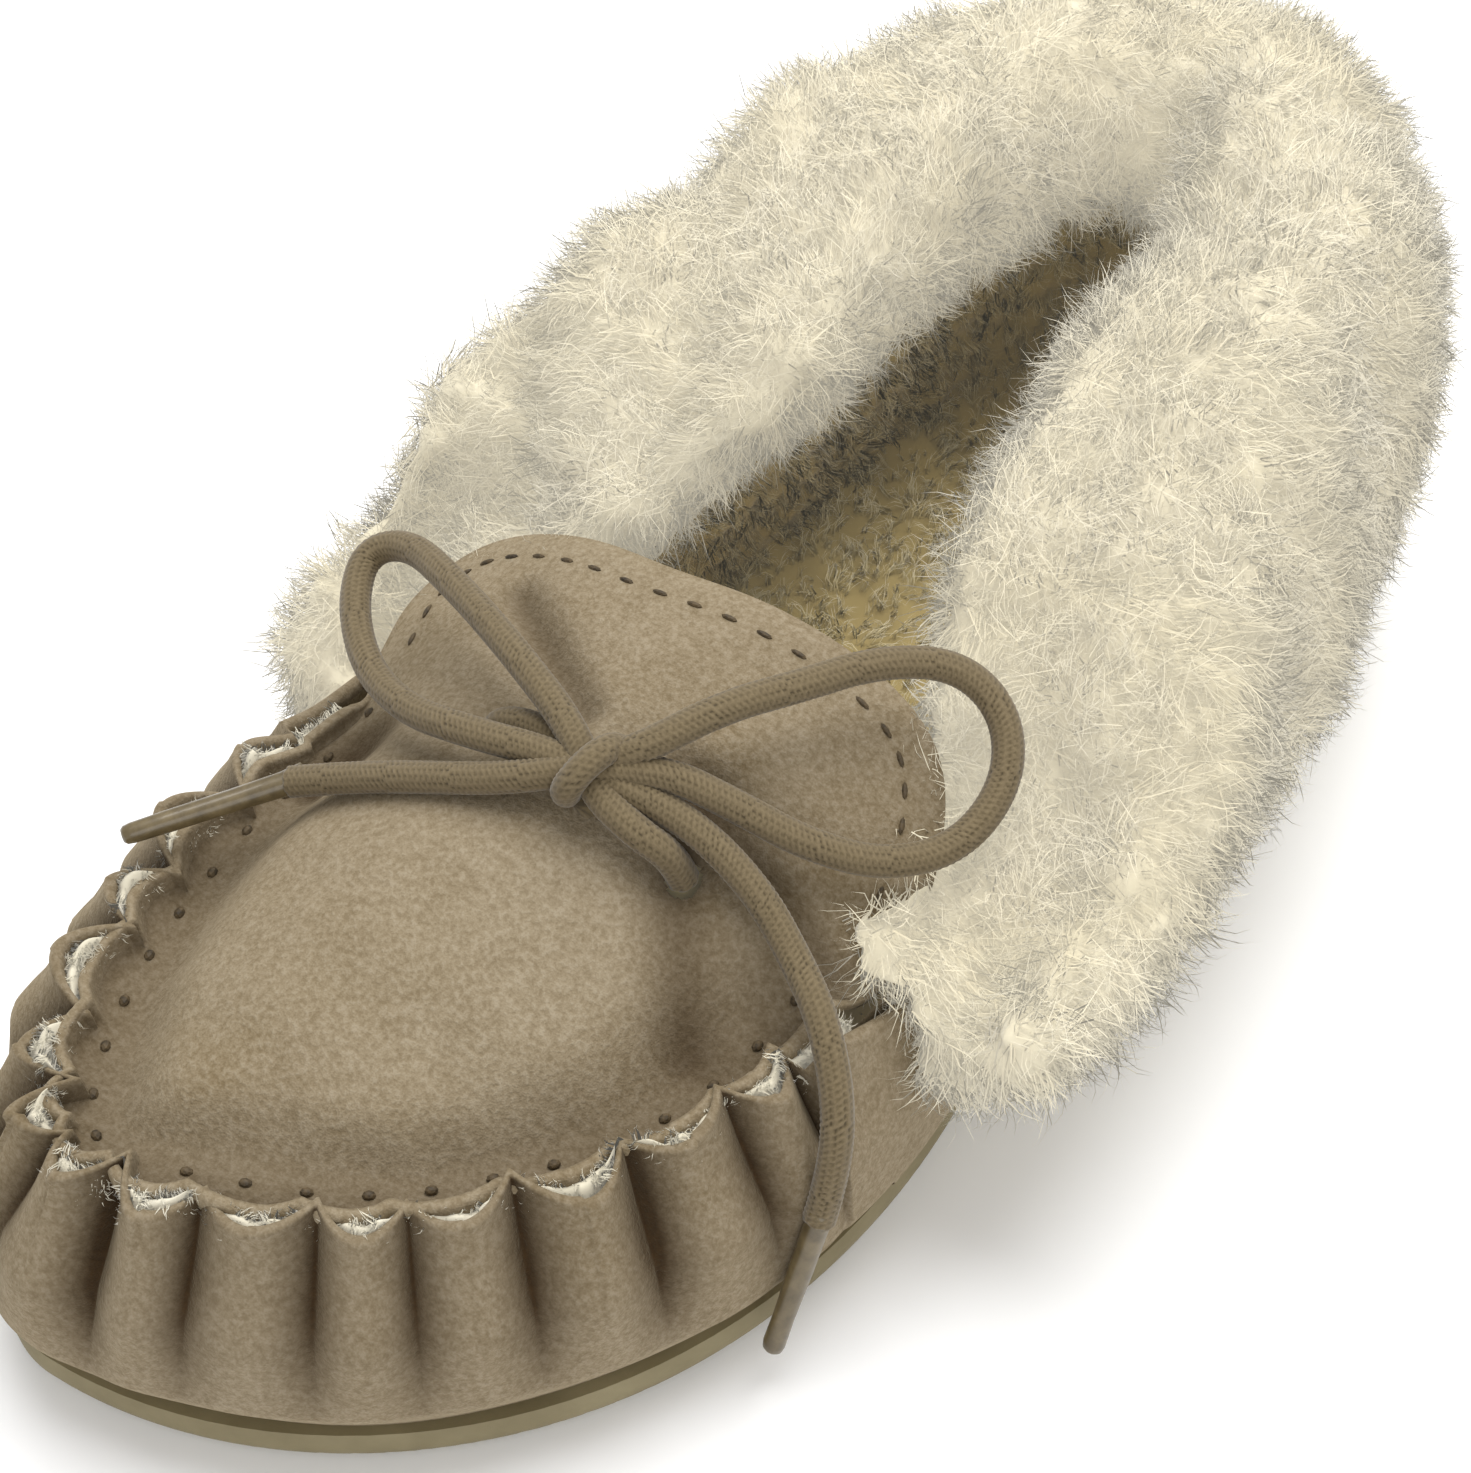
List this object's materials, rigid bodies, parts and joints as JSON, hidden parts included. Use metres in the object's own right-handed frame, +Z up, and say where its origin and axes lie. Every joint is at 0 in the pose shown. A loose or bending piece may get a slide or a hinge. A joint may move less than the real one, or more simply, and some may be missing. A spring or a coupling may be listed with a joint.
{
  "type": "moccasin slipper",
  "caption": "Suede moccasin slipper with a gathered toe seam, turned-down sheepskin collar, tied lace bow on a lifting tongue and a thin rubber sole.",
  "frame": {"origin": "on the floor, under the middle of the shoe's outer box, measured without the lace", "axes": "+Y towards the heel, toe towards -Y, +X towards the outer (little toe) side of this left shoe, +Z up"},
  "size_m": [0.1388, 0.2572, 0.084],
  "materials": {
    "outsole_rubber": "matte moulded rubber",
    "fibreboard": "matte",
    "foam": "matte",
    "fleece": "dense soft sheepskin pile",
    "collar_wool": "long soft sheepskin pile",
    "suede": "napped suede",
    "stiffener_fibre": "matte",
    "lace_braid": "round braided cord",
    "aglet_film": "shrunk film, semi-matte"
  },
  "bodies": {
    "shoe": {"outsole": "outsole_rubber", "insole_board": "fibreboard", "cushion_pad": "foam", "sock_fleece": "fleece", "gathered_wall": "suede", "quarter_outer": "suede", "quarter_inner": "suede", "heel_stiffener": "stiffener_fibre", "toe_fleece": "fleece", "quarter_fleece_outer": "fleece", "quarter_fleece_inner": "fleece", "apron": "suede", "apron_fleece": "fleece", "ridge_fleece": "fleece", "cuff_outer": "collar_wool", "cuff_inner": "collar_wool", "lace_knot": "lace_braid", "lace_end_left": "lace_braid", "lace_end_right": "lace_braid", "lace_leg_left": "lace_braid", "lace_leg_right": "lace_braid", "aglet_left": "aglet_film", "aglet_right": "aglet_film"},
    "tongue_flap": {"tongue": "suede", "tongue_fleece": "fleece", "lace_loop_left": "lace_braid", "lace_loop_right": "lace_braid"}
  },
  "joints": [
    {"name": "tongue_lift", "type": "hinge", "parent": "shoe", "child": "tongue_flap", "pos_m": [-0.00116, -0.04041, 0.057], "axis": [1, 0, 0], "range_deg": [0, 15]}
  ]
}
